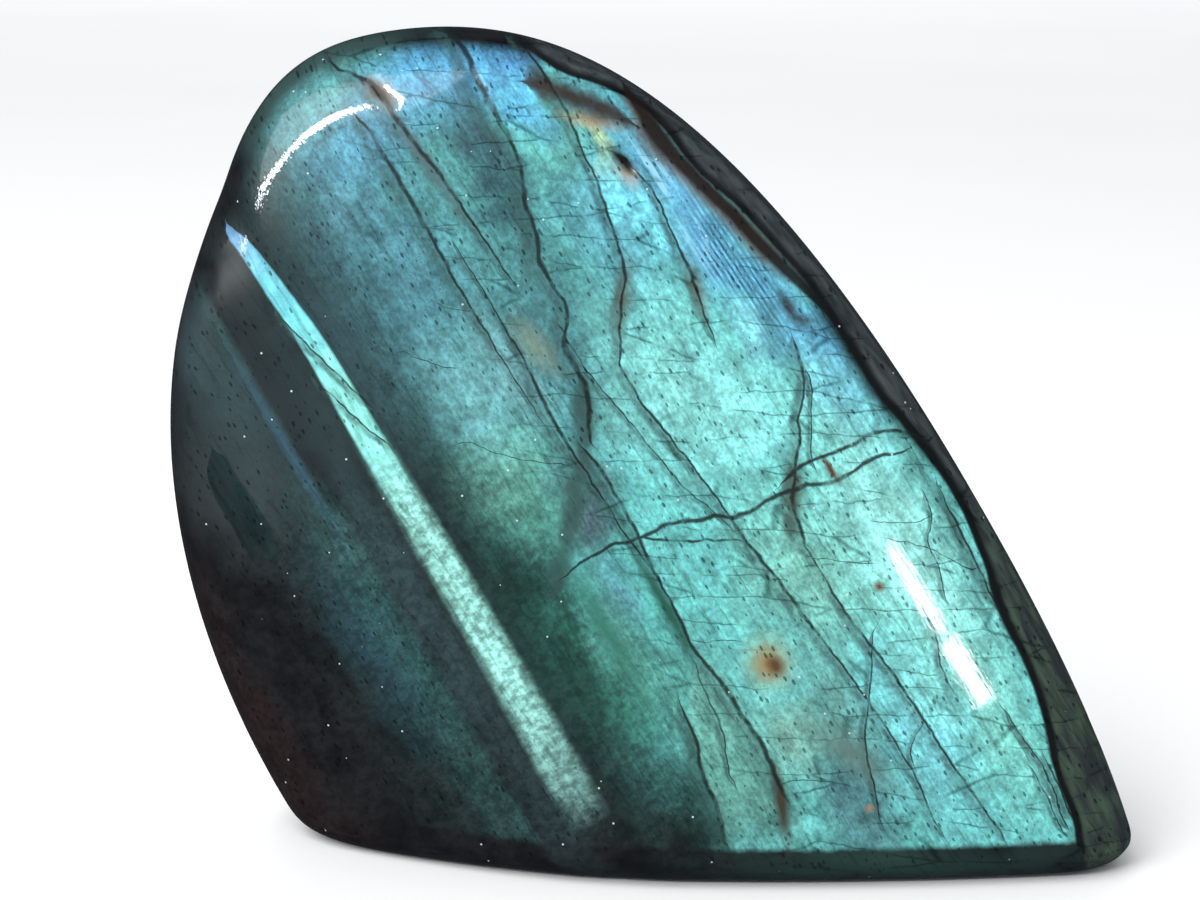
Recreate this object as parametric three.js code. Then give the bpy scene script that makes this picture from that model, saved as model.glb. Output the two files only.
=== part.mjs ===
// A polished labradorite freeform: one stone, sawn flat underneath so that it stands by itself.
// Millimetres, +Z up, +X to the right of the polished face, which looks towards -Y.
// The origin is on the sawn base, under the middle of the stone.
//
// The stone is shaped as a lapidary shapes it. A rough block is sawn to about the right outline, then
// every point of its skin is ground down to the finished faces: the outline, the polished face, the back,
// the bevels and the base. Each face is a function that gives the distance outside that face, and where
// two faces meet the wheel leaves a round of a given reach.

import * as THREE from 'three';
import { mergeVertices } from 'three/addons/utils/BufferGeometryUtils.js';

// ---------------------------------------------------------------- driving dimensions

// Outline seen from the front: a tilted egg, trimmed on the right by one long, nearly straight arc.
const EGG = { x: 11.5, z: 26.2, long: 67.5, short: 53.5, tilt: THREE.MathUtils.degToRad(-50.9) };
const RIGHT_ARC = { x: -218.8, z: -111.8, radius: 291.8 };
const OUTLINE_ROUND = 45;
const SHOULDER = { x: -34.8, z: 77.5, reach: 12.5, height: 2.8 };

// The crystal's banding runs down to the right at this angle below the horizontal.
const BANDING_ANGLE = THREE.MathUtils.degToRad(59.2);
const ACROSS = new THREE.Vector2(Math.sin(BANDING_ANGLE), Math.cos(BANDING_ANGLE));
const ALONG = new THREE.Vector2(Math.cos(BANDING_ANGLE), -Math.sin(BANDING_ANGLE));

// Polished face: a shallow dome that leans back, with a second face turned back on its left.
const FRONT = {
  depth: 16.8,
  lean: 0.1,
  crownAcross: 13.3,
  crownAlong: -14.2,
  radiusAcross: 170,
  radiusAlong: 600,
};
const LEFT_FACE = { edge: -1.7, slope: 0.22, curve: 0.003, blend: 2.5 };
const GROOVE = { across: -2, halfWidth: 2.6, depth: 0.3, extraDepth: 0.9, stretch: [40, 62] };

// Back: a plain, gently domed face.
const BACK = { depth: 17.6, lean: 0.07, crownX: 7.5, crownZ: 34, radius: 400 };

// Rounds and bevels along the edges. A pair is the stretch over which one size turns into the next.
const FRONT_ROUND = { usual: 8, shoulder: 14, right: 4 };
const TO_SHOULDER = { x: [-8.5, -28.5], z: [50, 66] };
const TO_RIGHT = [-6.5, 9.5];
const BACK_ROUND = 9;
const SIDE_BEVEL = { middle: 0.9, foot: 1.6, top: 0.4, round: 1.6, turn: Math.PI / 6 };
const FOOT_STRETCH = [34, 2];
const TOP_STRETCH = [50, 66];
const NO_BEVEL = 9;
const BASE_BEVEL = { left: 1, right: 1.9, round: 1.6, stretch: [-30, 5] };

// The four corners of the rough block, seen from the front.
const BLOCK = {
  bottomLeft: new THREE.Vector2(-40, 0),
  bottomRight: new THREE.Vector2(46, 0),
  topRight: new THREE.Vector2(4, 73),
  topLeft: new THREE.Vector2(-40, 73),
};
const SEGMENTS = { x: 34, y: 12, z: 30 };
const HEART = new THREE.Vector3(2, 0.5, 36);

const EVENING_PASSES = 3;
const EVENING_SHARE = 0.5;
const BISECTIONS = 40;
const FARTHEST = 90;
const SMALLEST = 1e-6;
const FLAT = 1e-4;

// ---------------------------------------------------------------- shape helpers

// 0 before the first end of a stretch, 1 past the second, smooth between; the ends may run either way.
function between(value, [from, to]) {
  const t = THREE.MathUtils.clamp((value - from) / (to - from), 0, 1);
  return t * t * (3 - 2 * t);
}

// Two faces meet in a round that reaches this far from their edge.
function meet(a, b, reach) {
  const overlap = Math.max(reach - Math.abs(a - b), 0) / reach;
  return Math.max(a, b) + (overlap ** 3 * reach) / 6;
}

// First-order distance outside the tilted egg.
function outsideEgg(x, z) {
  const dx = x - EGG.x;
  const dz = z - EGG.z;
  const u = dx * Math.cos(EGG.tilt) + dz * Math.sin(EGG.tilt);
  const v = dz * Math.cos(EGG.tilt) - dx * Math.sin(EGG.tilt);
  const size = Math.max(Math.hypot(u / EGG.long, v / EGG.short), SMALLEST);
  const steepness = Math.hypot(u / EGG.long ** 2, v / EGG.short ** 2) / size;
  return (size - 1) / steepness;
}

function outsideOutline(x, z) {
  const rightArc = Math.hypot(x - RIGHT_ARC.x, z - RIGHT_ARC.z) - RIGHT_ARC.radius;
  const fromShoulder = Math.hypot(x - SHOULDER.x, z - SHOULDER.z) / SHOULDER.reach;
  const swelling = SHOULDER.height * Math.exp(-(fromShoulder ** 2));
  return meet(outsideEgg(x, z), rightArc, OUTLINE_ROUND) - swelling;
}

// Where the polished face lies in Y, at a place seen from the front.
function frontY(x, z) {
  const across = ACROSS.x * x + ACROSS.y * z;
  const along = ALONG.x * x + ALONG.y * z;
  const dome =
    (across - FRONT.crownAcross) ** 2 / (2 * FRONT.radiusAcross) +
    (along - FRONT.crownAlong) ** 2 / (2 * FRONT.radiusAlong);

  const past = THREE.MathUtils.clamp(LEFT_FACE.edge - across, -LEFT_FACE.blend, LEFT_FACE.blend);
  const blended = (past + LEFT_FACE.blend) ** 2 / (4 * LEFT_FACE.blend);
  const turned = blended + Math.max(LEFT_FACE.edge - across - LEFT_FACE.blend, 0);

  const grooveDepth = GROOVE.depth + GROOVE.extraDepth * between(z, GROOVE.stretch);
  const groove = grooveDepth * Math.exp(-(((across - GROOVE.across) / GROOVE.halfWidth) ** 2));
  const leftFace = LEFT_FACE.slope * turned + LEFT_FACE.curve * turned ** 2;
  return -FRONT.depth + FRONT.lean * z + dome + leftFace + groove;
}

function backY(x, z) {
  const fromCrown = Math.hypot(x - BACK.crownX, z - BACK.crownZ);
  return BACK.depth - BACK.lean * z - fromCrown ** 2 / (2 * BACK.radius);
}

// Distance outside the finished stone: negative inside it, zero on its skin.
function outsideStone(point) {
  const { x, y, z } = point;
  const outline = outsideOutline(x, z);
  const front = frontY(x, z) - y;

  const atShoulder = between(x, TO_SHOULDER.x) * between(z, TO_SHOULDER.z);
  const atRight = between(x, TO_RIGHT);
  const frontRound =
    FRONT_ROUND.usual +
    (FRONT_ROUND.shoulder - FRONT_ROUND.usual) * atShoulder +
    (FRONT_ROUND.right - FRONT_ROUND.usual) * atRight;
  let skin = meet(outline, front, frontRound);

  // A narrow bevel along the right edge, widest at the foot, nearer in slope to the polished face than
  // to the side.
  const bevel =
    SIDE_BEVEL.middle +
    SIDE_BEVEL.foot * between(z, FOOT_STRETCH) +
    SIDE_BEVEL.top * between(z, TOP_STRETCH) -
    (1 - atRight) * NO_BEVEL;
  const side = Math.sin(SIDE_BEVEL.turn) * outline + Math.cos(SIDE_BEVEL.turn) * front;
  skin = meet(skin, side + bevel, SIDE_BEVEL.round);

  skin = meet(skin, y - backY(x, z), BACK_ROUND);
  const baseBevel = THREE.MathUtils.lerp(BASE_BEVEL.left, BASE_BEVEL.right, between(x, BASE_BEVEL.stretch));
  skin = meet(skin, Math.SQRT1_2 * (skin - z) + baseBevel, BASE_BEVEL.round);
  return meet(skin, -z, BASE_BEVEL.round);
}

// Slides a point along its line from the heart of the stone until it lies on the finished skin.
function grind(point) {
  const direction = point.clone().sub(HEART).normalize();
  let inside = 0;
  let outside = FARTHEST;
  for (let i = 0; i < BISECTIONS; i++) {
    const middle = (inside + outside) / 2;
    point.copy(HEART).addScaledVector(direction, middle);
    if (outsideStone(point) > 0) outside = middle;
    else inside = middle;
  }
}

// Bends a point of the cube from -1 to 1 into the rough block, which already has the front and back faces.
function saw(point) {
  const right = (point.x + 1) / 2;
  const back = (point.y + 1) / 2;
  const up = (point.z + 1) / 2;
  const bottom = BLOCK.bottomLeft.clone().lerp(BLOCK.bottomRight, right);
  const top = BLOCK.topLeft.clone().lerp(BLOCK.topRight, right);
  const { x, y: z } = bottom.lerp(top, up);
  point.set(x, THREE.MathUtils.lerp(frontY(x, z), backY(x, z), back), z);
}

// ---------------------------------------------------------------- the stone

function makeStone() {
  const cube = new THREE.BoxGeometry(2, 2, 2, SEGMENTS.x, SEGMENTS.y, SEGMENTS.z);
  cube.deleteAttribute('normal');
  cube.deleteAttribute('uv');
  const geometry = mergeVertices(cube);
  const position = geometry.getAttribute('position');
  const index = geometry.getIndex().array;

  const points = [];
  for (let i = 0; i < position.count; i++) {
    const point = new THREE.Vector3().fromBufferAttribute(position, i);
    saw(point);
    grind(point);
    points.push(point);
  }

  // Each pass moves every point to the middle of its neighbours and grinds it back, so that the facets
  // come out about the same size everywhere.
  const neighbours = points.map(() => new Set());
  for (let i = 0; i < index.length; i += 3) {
    for (let corner = 0; corner < 3; corner++) {
      neighbours[index[i + corner]].add(index[i + ((corner + 1) % 3)]);
      neighbours[index[i + corner]].add(index[i + ((corner + 2) % 3)]);
    }
  }
  for (let pass = 0; pass < EVENING_PASSES; pass++) {
    const middles = neighbours.map((near) => {
      const middle = new THREE.Vector3();
      for (const n of near) middle.add(points[n]);
      return middle.divideScalar(near.size);
    });
    points.forEach((point, i) => {
      point.lerp(middles[i], EVENING_SHARE);
      grind(point);
    });
  }

  points.forEach((point, i) => {
    const onBase = point.z < FLAT;
    position.setXYZ(i, point.x, point.y, onBase ? 0 : point.z);
  });
  geometry.computeVertexNormals();
  return geometry;
}

const labradorite = new THREE.MeshStandardMaterial({
  color: 0x4a9aa0,
  roughness: 0.08,
  metalness: 0.15,
});

const stone = new THREE.Mesh(makeStone(), labradorite);
stone.name = 'stone';

const freeform = new THREE.Group();
freeform.name = 'labradorite_freeform';
freeform.add(stone);

export default freeform;
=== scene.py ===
# %% [markdown]
# # A polished labradorite freeform
# Labradorite is a feldspar that grew as a stack of very thin layers. Light bounces off the layers and comes
# back as blue, turquoise or green: the flash. A freeform is one lump of it, ground to a pleasing outline,
# polished all over, and sawn flat underneath so that it stands.
#
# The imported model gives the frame: where the stone stands and how large it is. This lesson grinds a much
# finer stone in the same box, and then grows the crystal inside it with one material.

# %% Load the frame
import math

import bmesh
import bpy
import numpy as np
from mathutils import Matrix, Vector


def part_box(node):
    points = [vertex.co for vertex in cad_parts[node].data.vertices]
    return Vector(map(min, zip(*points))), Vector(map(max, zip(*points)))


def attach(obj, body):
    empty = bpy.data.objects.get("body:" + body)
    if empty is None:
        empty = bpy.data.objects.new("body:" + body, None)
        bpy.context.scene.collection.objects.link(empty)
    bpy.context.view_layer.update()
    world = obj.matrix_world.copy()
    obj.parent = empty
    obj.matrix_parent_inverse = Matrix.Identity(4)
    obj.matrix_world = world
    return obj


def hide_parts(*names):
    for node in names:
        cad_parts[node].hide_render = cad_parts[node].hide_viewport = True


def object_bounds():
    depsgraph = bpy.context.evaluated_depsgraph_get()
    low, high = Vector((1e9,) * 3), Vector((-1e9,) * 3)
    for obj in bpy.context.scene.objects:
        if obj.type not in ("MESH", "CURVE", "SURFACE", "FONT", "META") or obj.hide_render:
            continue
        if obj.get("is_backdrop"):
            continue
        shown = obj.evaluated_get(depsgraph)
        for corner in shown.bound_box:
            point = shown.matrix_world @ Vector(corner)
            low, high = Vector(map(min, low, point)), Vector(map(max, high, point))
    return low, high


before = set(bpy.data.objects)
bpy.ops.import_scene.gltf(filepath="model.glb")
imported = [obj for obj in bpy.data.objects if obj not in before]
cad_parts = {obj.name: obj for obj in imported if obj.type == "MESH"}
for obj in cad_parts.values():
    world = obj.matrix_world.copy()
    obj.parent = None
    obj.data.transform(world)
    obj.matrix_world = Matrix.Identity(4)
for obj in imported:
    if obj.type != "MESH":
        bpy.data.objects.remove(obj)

cad_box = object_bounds()
MM = 0.001
low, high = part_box("stone")
print("CAD stone, mm:", [round(side / MM, 1) for side in high - low])

# %% [markdown]
# ## The banding
# Everything in this crystal follows its banding, which runs down to the right at 59 degrees. So every place
# on the stone is given as *across* the bands and *along* them, in millimetres, in place of X and Z. Two
# small functions blend numbers: one from 0 to 1, and one round the edge where two faces meet.

# %% Across and along
BANDING_ANGLE = math.radians(59.2)
ACROSS = np.array([math.sin(BANDING_ANGLE), 0.0, math.cos(BANDING_ANGLE)])
ALONG = np.array([math.cos(BANDING_ANGLE), 0.0, -math.sin(BANDING_ANGLE)])


def between(value, start, end):
    """0 before start, 1 past end, smooth in between."""
    t = np.clip((value - start) / (end - start), 0.0, 1.0)
    return t * t * (3.0 - 2.0 * t)


def meet(a, b, reach):
    """Two faces meet in a round that reaches this far from their edge."""
    overlap = np.maximum(reach - np.abs(a - b), 0.0) / reach
    return np.maximum(a, b) + overlap**3 * reach / 6.0


# %% [markdown]
# ## The ground faces
# A lapidary grinds a stone face by face. Each face here is a distance: how far a point lies outside it.
# Where two distances meet, the wheel's round blends them. The outline is a tilted egg, cut on the right by
# one long arc. The front is a shallow dome with a second, turned-back face left of the bright stripe.

# %% Outline
EGG = {"x": 11.5, "z": 26.2, "long": 67.5, "short": 53.5, "tilt": math.radians(-50.9)}
RIGHT_ARC = {"x": -218.8, "z": -111.8, "radius": 291.8}
OUTLINE_ROUND = 45.0
SHOULDER = {"x": -34.8, "z": 77.5, "reach": 12.5, "height": 2.8}


def outside_outline(x, z):
    dx, dz = x - EGG["x"], z - EGG["z"]
    c, s = math.cos(EGG["tilt"]), math.sin(EGG["tilt"])
    u, v = dx * c + dz * s, dz * c - dx * s
    size = np.maximum(np.hypot(u / EGG["long"], v / EGG["short"]), 1e-6)
    steepness = np.hypot(u / EGG["long"] ** 2, v / EGG["short"] ** 2) / size
    egg = (size - 1.0) / np.maximum(steepness, 1e-9)
    arc = np.hypot(x - RIGHT_ARC["x"], z - RIGHT_ARC["z"]) - RIGHT_ARC["radius"]
    from_shoulder = np.hypot(x - SHOULDER["x"], z - SHOULDER["z"]) / SHOULDER["reach"]
    return meet(egg, arc, OUTLINE_ROUND) - SHOULDER["height"] * np.exp(-(from_shoulder**2))


# %% Front and back
FRONT = {"depth": 16.8, "lean": 0.1, "crown_across": 13.3, "crown_along": -14.2}
DOME_RADIUS = {"across": 170.0, "along": 600.0}
LEFT_FACE = {"edge": -1.7, "slope": 0.22, "curve": 0.003, "blend": 2.5}
GROOVE = {"across": -2.0, "half_width": 2.6, "depth": 0.3, "extra": 0.9, "stretch": (40.0, 62.0)}
BACK = {"depth": 17.6, "lean": 0.07, "crown_x": 7.5, "crown_z": 34.0, "radius": 400.0}


def front_y(x, z):
    across = ACROSS[0] * x + ACROSS[2] * z
    along = ALONG[0] * x + ALONG[2] * z
    dome = (across - FRONT["crown_across"]) ** 2 / (2 * DOME_RADIUS["across"])
    dome = dome + (along - FRONT["crown_along"]) ** 2 / (2 * DOME_RADIUS["along"])
    blend = LEFT_FACE["blend"]
    past = LEFT_FACE["edge"] - across
    turned = (np.clip(past, -blend, blend) + blend) ** 2 / (4 * blend) + np.maximum(past - blend, 0.0)
    depth = GROOVE["depth"] + GROOVE["extra"] * between(z, *GROOVE["stretch"])
    groove = depth * np.exp(-(((across - GROOVE["across"]) / GROOVE["half_width"]) ** 2))
    left_face = LEFT_FACE["slope"] * turned + LEFT_FACE["curve"] * turned**2
    return -FRONT["depth"] + FRONT["lean"] * z + dome + left_face + groove


def back_y(x, z):
    from_crown = np.hypot(x - BACK["crown_x"], z - BACK["crown_z"])
    return BACK["depth"] - BACK["lean"] * z - from_crown**2 / (2 * BACK["radius"])


# %% [markdown]
# ## Small wear in the real shape
# A few flaws are large enough to be felt with a fingernail, so they are ground into the shape and not only
# painted: an open pit near the top, two shallow hollows where softer, rusty mineral wore down, and a chip on
# the right edge. Each pit is given across and along, with its half sizes, turn and depth in millimetres.

# %% Pits and the chip
PITS = [
    # across, along, half width, half length, turn of the long side in degrees, depth
    (33.6, -61.4, 0.75, 1.7, -14, 0.55),
    (17.2, -78.6, 0.8, 1.6, -20, 0.18),
    (34, -67.3, 1.1, 2.4, -48, 0.22),
    (30.8, -71.4, 0.8, 1.5, -60, 0.16),
    (25.2, -73.6, 0.5, 1.8, 4, 0.14),
    (38.4, -60.6, 0.9, 2.4, -14, 0.16),
    (21.5, -13.3, 1.3, 1.5, 0, 0.07),
    (35.8, -26.4, 0.4, 1.3, 0, 0.1),
]
CHIP = {"centre": np.array([44.6, -8.6, 14.6]), "half": np.array([1.5, 3.0, 1.5]), "depth": 0.7}


def wear(p):
    """How deep the flaws are at each point, in mm."""
    across, along = p @ ACROSS, p @ ALONG
    depth = np.zeros(len(p))
    for at_across, at_along, half_width, half_length, turn, deep in PITS:
        c, s = math.cos(math.radians(turn)), math.sin(math.radians(turn))
        u = ((across - at_across) * c + (along - at_along) * s) / half_width
        v = ((along - at_along) * c - (across - at_across) * s) / half_length
        depth += deep * np.exp(-((u * u + v * v) ** 1.5)) * (p[:, 1] < 0.0)
    chip = (((p - CHIP["centre"]) / CHIP["half"]) ** 2).sum(1)
    return depth + CHIP["depth"] * np.exp(-(chip**2))


# %% [markdown]
# ## Rounds and bevels
# The finished skin is the faces joined: a wide round at the shoulder, a tight one on the right with a narrow
# bevel beside it, a soft round behind, and a ground edge round the sawn base.

# %% Distance outside the finished stone
FRONT_ROUND = {"usual": 8.0, "shoulder": 14.0, "right": 4.0}
TO_SHOULDER = {"left": (8.5, 28.5), "up": (50.0, 66.0)}
TO_RIGHT = (-6.5, 9.5)
SIDE_BEVEL = {"middle": 0.9, "foot": 1.6, "top": 0.4, "round": 1.6, "turn": math.pi / 6}
AT_FOOT, AT_TOP = (2.0, 34.0), (50.0, 66.0)
NO_BEVEL = 9.0
BACK_ROUND = 9.0
BASE_BEVEL = {"left": 1.0, "more": 0.9, "stretch": (-30.0, 5.0), "round": 1.6}


def outside_stone(p):
    x, y, z = p[:, 0], p[:, 1], p[:, 2]
    outline = outside_outline(x, z)
    front = front_y(x, z) - y + wear(p)
    at_shoulder = between(-x, *TO_SHOULDER["left"]) * between(z, *TO_SHOULDER["up"])
    at_right = between(x, *TO_RIGHT)
    reach = FRONT_ROUND["usual"] + (FRONT_ROUND["shoulder"] - FRONT_ROUND["usual"]) * at_shoulder
    reach = reach + (FRONT_ROUND["right"] - FRONT_ROUND["usual"]) * at_right
    skin = meet(outline, front, reach)
    bevel = SIDE_BEVEL["middle"] + SIDE_BEVEL["foot"] * (1.0 - between(z, *AT_FOOT))
    bevel = bevel + SIDE_BEVEL["top"] * between(z, *AT_TOP) - (1.0 - at_right) * NO_BEVEL
    side = math.sin(SIDE_BEVEL["turn"]) * outline + math.cos(SIDE_BEVEL["turn"]) * front
    skin = meet(skin, side + bevel, SIDE_BEVEL["round"])
    skin = meet(skin, y - back_y(x, z), BACK_ROUND)
    foot = BASE_BEVEL["left"] + BASE_BEVEL["more"] * between(x, *BASE_BEVEL["stretch"])
    skin = meet(skin, math.sqrt(0.5) * (skin - z) + foot, BASE_BEVEL["round"])
    return meet(skin, -z, BASE_BEVEL["round"])


# %% [markdown]
# ## Saw, then grind
# A cube is the rough block. Subdividing its edges direction by direction gives it an even grid of quads,
# without the poles of a sphere. The grid is bent into a block with the stone's front and back, then each
# vertex slides along its line from the heart of the stone until it lies on the finished skin. A few rounds
# of smooth_vert, each followed by another grind, even out the quads.

# %% The rough block
SEGMENTS = {"x": 150, "y": 54, "z": 132}
BLOCK = {"bottom": (-40.0, 46.0), "top": (-40.0, 4.0), "height": 73.0}


def places(mesh):
    return np.array([vertex.co for vertex in mesh.verts])


def put(mesh, points):
    for vertex, point in zip(mesh.verts, points):
        vertex.co = point


stone_mesh = bmesh.new()
bmesh.ops.create_cube(stone_mesh, size=2.0)
for axis, name in enumerate("xyz"):
    runs = []
    for edge in stone_mesh.edges:
        run = edge.verts[0].co - edge.verts[1].co
        if abs(run[axis]) > 1.0:
            runs.append(edge)
    bmesh.ops.subdivide_edges(stone_mesh, edges=runs, cuts=SEGMENTS[name] - 1, use_grid_fill=True)

share = (places(stone_mesh) + 1.0) / 2.0
z = share[:, 2] * BLOCK["height"]
left_x = BLOCK["bottom"][0] + (BLOCK["top"][0] - BLOCK["bottom"][0]) * share[:, 2]
right_x = BLOCK["bottom"][1] + (BLOCK["top"][1] - BLOCK["bottom"][1]) * share[:, 2]
x = left_x + (right_x - left_x) * share[:, 0]
y = front_y(x, z) + (back_y(x, z) - front_y(x, z)) * share[:, 1]
block = np.stack([x, y, z], axis=1)
print("block:", len(stone_mesh.faces), "quads")

# %% Grind
HEART = np.array([2.0, 0.5, 36.0])
FARTHEST = 90.0
BISECTIONS = 32
EVENING_PASSES = 4
ON_THE_BASE = 1e-4


def grind(points):
    direction = points - HEART
    direction /= np.linalg.norm(direction, axis=1)[:, None]
    inside = np.zeros(len(points))
    outside = np.full(len(points), FARTHEST)
    for _ in range(BISECTIONS):
        middle = (inside + outside) / 2.0
        is_out = outside_stone(HEART + direction * middle[:, None]) > 0.0
        outside = np.where(is_out, middle, outside)
        inside = np.where(is_out, inside, middle)
    return HEART + direction * inside[:, None]


put(stone_mesh, grind(block))
for _ in range(EVENING_PASSES):
    bmesh.ops.smooth_vert(
        stone_mesh, verts=stone_mesh.verts, factor=0.5,
        use_axis_x=True, use_axis_y=True, use_axis_z=True,
    )
    put(stone_mesh, grind(places(stone_mesh)))
ground = places(stone_mesh)
ground[ground[:, 2] < ON_THE_BASE, 2] = 0.0
put(stone_mesh, ground * MM)
bmesh.ops.recalc_face_normals(stone_mesh, faces=stone_mesh.faces)
for face in stone_mesh.faces:
    face.smooth = True

stone_data = bpy.data.meshes.new("polished_stone")
stone_mesh.to_mesh(stone_data)
stone_mesh.free()
polished_stone = bpy.data.objects.new("polished_stone", stone_data)
bpy.context.scene.collection.objects.link(polished_stone)
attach(polished_stone, "root")
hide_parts("stone")
print("stone, mm:", np.round(np.ptp(ground, axis=0), 2))

# %% [markdown]
# ## Polished labradorite
# Feldspar has an index of refraction of about 1.56. It was ground with ever finer grit and polished with an
# oxide powder, so a thin, clear, very smooth skin lies over the colour: a coat. Under it the layers scatter
# light like a satin metal foil, so the flash itself is only half smooth.
#
# One helper adds a node. Colours are sRGB hex values, turned to linear by one function. Much of the pattern
# is a *share*, from 0 to 1, that grows smoothly from one place to another. A Map Range node gives that, and
# SMOOTH is its setting.

# %% Helpers
labradorite = bpy.data.materials.new("polished_labradorite")
labradorite.use_nodes = True
tree = labradorite.node_tree
tree.nodes.clear()
SMOOTH = {"interpolation_type": "SMOOTHSTEP"}
PRODUCT = {"operation": "MULTIPLY"}
TINT = {"blend_type": "MULTIPLY"}


def hue(code):
    """An sRGB hex colour as the linear colour that the nodes take."""
    parts = [int(code[i:i + 2], 16) / 255.0 for i in (1, 3, 5)]
    linear = [p / 12.92 if p <= 0.04045 else ((p + 0.055) / 1.055) ** 2.4 for p in parts]
    return (*linear, 1.0)


def add(kind, wires, **settings):
    """Adds a node with its settings, wires or sets its inputs, and returns its first output."""
    made = tree.nodes.new("ShaderNode" + kind)
    for name, value in settings.items():
        setattr(made, name, value)
    for key, value in wires.items():
        if isinstance(value, bpy.types.NodeSocket):
            tree.links.new(value, made.inputs[key])
        else:
            made.inputs[key].default_value = value
    return made.outputs[0] if made.outputs else made


# %% [markdown]
# The coordinates: across, along and depth from front to back, in millimetres. The layers lean, so towards
# the back the whole pattern is shifted across. Three more places are the same one moved about by noise:
# *wobbly* by a third of a millimetre at most, so that cracks aren't ruled lines, *gentle* by a third of
# that, for the ground edges, and *drifting* by a few millimetres, so that colour zones have no clean outline.

# %% Coordinates
LEAN = -0.55
LEANS_FROM = 2.0
place = add("TexCoord", {}).node
position = add("VectorMath", {0: place.outputs["Object"], 3: 1.0 / MM}, operation="SCALE")
normal_y = add("SeparateXYZ", {0: place.outputs["Normal"]}).node.outputs["Y"]
depth = add("SeparateXYZ", {0: position}).node.outputs["Y"]
across = add("VectorMath", {0: position, 1: tuple(ACROSS)}, operation="DOT_PRODUCT").node.outputs["Value"]
along = add("VectorMath", {0: position, 1: tuple(ALONG)}, operation="DOT_PRODUCT").node.outputs["Value"]
past_front = add("Math", {0: depth, 1: LEANS_FROM}, operation="SUBTRACT")
behind = add("Math", {0: past_front, 1: 0.0}, operation="MAXIMUM")
leaning = add("Math", {0: behind, 1: LEAN, 2: across}, operation="MULTIPLY_ADD")
grain = add("CombineXYZ", {0: leaning, 1: along, 2: depth})


def moved(per_mm, amount):
    """The place in the grain, moved by up to half that amount in mm, by noise with so many waves per mm."""
    noise = add("TexNoise", {"Vector": grain, "Scale": per_mm, "Detail": 2.0}).node.outputs["Color"]
    centred = add("VectorMath", {0: noise, 1: (0.5, 0.5, 0.5)}, operation="SUBTRACT")
    shift = add("VectorMath", {0: centred, 1: amount}, **PRODUCT)
    return add("VectorMath", {0: grain, 1: shift}, operation="ADD")


wobbly = moved(0.6, (0.55, 0.7, 0.0))
drifting = moved(0.16, (6.0, 6.0, 0.0))
gentle = add("Mix", {0: 0.3, 4: grain, 5: wobbly}, data_type="VECTOR").node.outputs[1]

# %% [markdown]
# ## Veins
# A crack or a band that runs along the crystal is a line: for each place along, how far across it lies, and
# how strong it is there. Two Float Curves hold those, drawn through a few points in millimetres. The same
# function serves the fractures that run across, with the two directions swapped. Cracks that never lie side
# by side share one pair of curves, with a strength of zero between them.

# %% Lines drawn through given points
ALONG_SPAN = (-92.0, 32.0)
ACROSS_SPAN = (-34.0, 50.0)
NO_WIDTH = 0.0005


def shares(where):
    """Across and along, each as a share of its span."""
    parts = add("SeparateXYZ", {0: where}).node.outputs
    spans = (ACROSS_SPAN, ALONG_SPAN)
    return [add("MapRange", {0: parts[i], 1: spans[i][0], 2: spans[i][1]}) for i in (0, 1)]


gentle_shares = shares(gentle)
wobbly_shares = shares(wobbly)


def curve(share, span, points, top=1.0):
    """A smooth curve through (place, result) points, with results from 0 to top."""
    node = add("FloatCurve", {1: share}).node
    line = node.mapping.curves[0]
    spots = [((at - span[0]) / (span[1] - span[0]), result / top) for at, result in points]
    line.points[0].location = (0.0, spots[0][1])
    line.points[-1].location = (1.0, spots[-1][1])
    for spot in spots:
        line.points.new(*spot)
    for point in line.points:
        point.handle_type = "AUTO_CLAMPED"
    node.mapping.update()
    return node.outputs[0]


def vein(points, half_width, crossing=False, where=wobbly_shares):
    """A line through points (along, across, strength), or (across, along, strength) if it crosses the
    banding. Gives how far a place is past its middle: in mm, in half widths of the line, and the
    latter without its sign."""
    over, run = where
    over_span, run_span = ACROSS_SPAN, ALONG_SPAN
    if crossing:
        run, over = where
        run_span, over_span = ACROSS_SPAN, ALONG_SPAN
    reach = over_span[1] - over_span[0]
    course = curve(run, run_span, [(at, side - over_span[0]) for at, side, _ in points], reach)
    first, last = points[0][0] - 1.0, points[-1][0] + 1.0
    strengths = [(at, strong) for at, _, strong in points]
    strength = curve(run, run_span, [(first, 0.0), *strengths, (last, 0.0)])
    off = add("Math", {0: over, 1: course}, operation="SUBTRACT")
    past = add("Math", {0: off, 1: reach}, **PRODUCT)
    width = add("Math", {0: strength, 1: half_width, 2: NO_WIDTH}, operation="MULTIPLY_ADD")
    ratio = add("Math", {0: past, 1: width}, operation="DIVIDE")
    return past, ratio, add("Math", {0: ratio}, operation="ABSOLUTE")


# A spherical gradient falls evenly to 0 at its radius. With a radius of 1.5 half widths and 1.5 times the
# strength, a zone is full in its middle and at half strength at its half width.
FADE = 1.5
ANY_DEPTH = 1000.0


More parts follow.
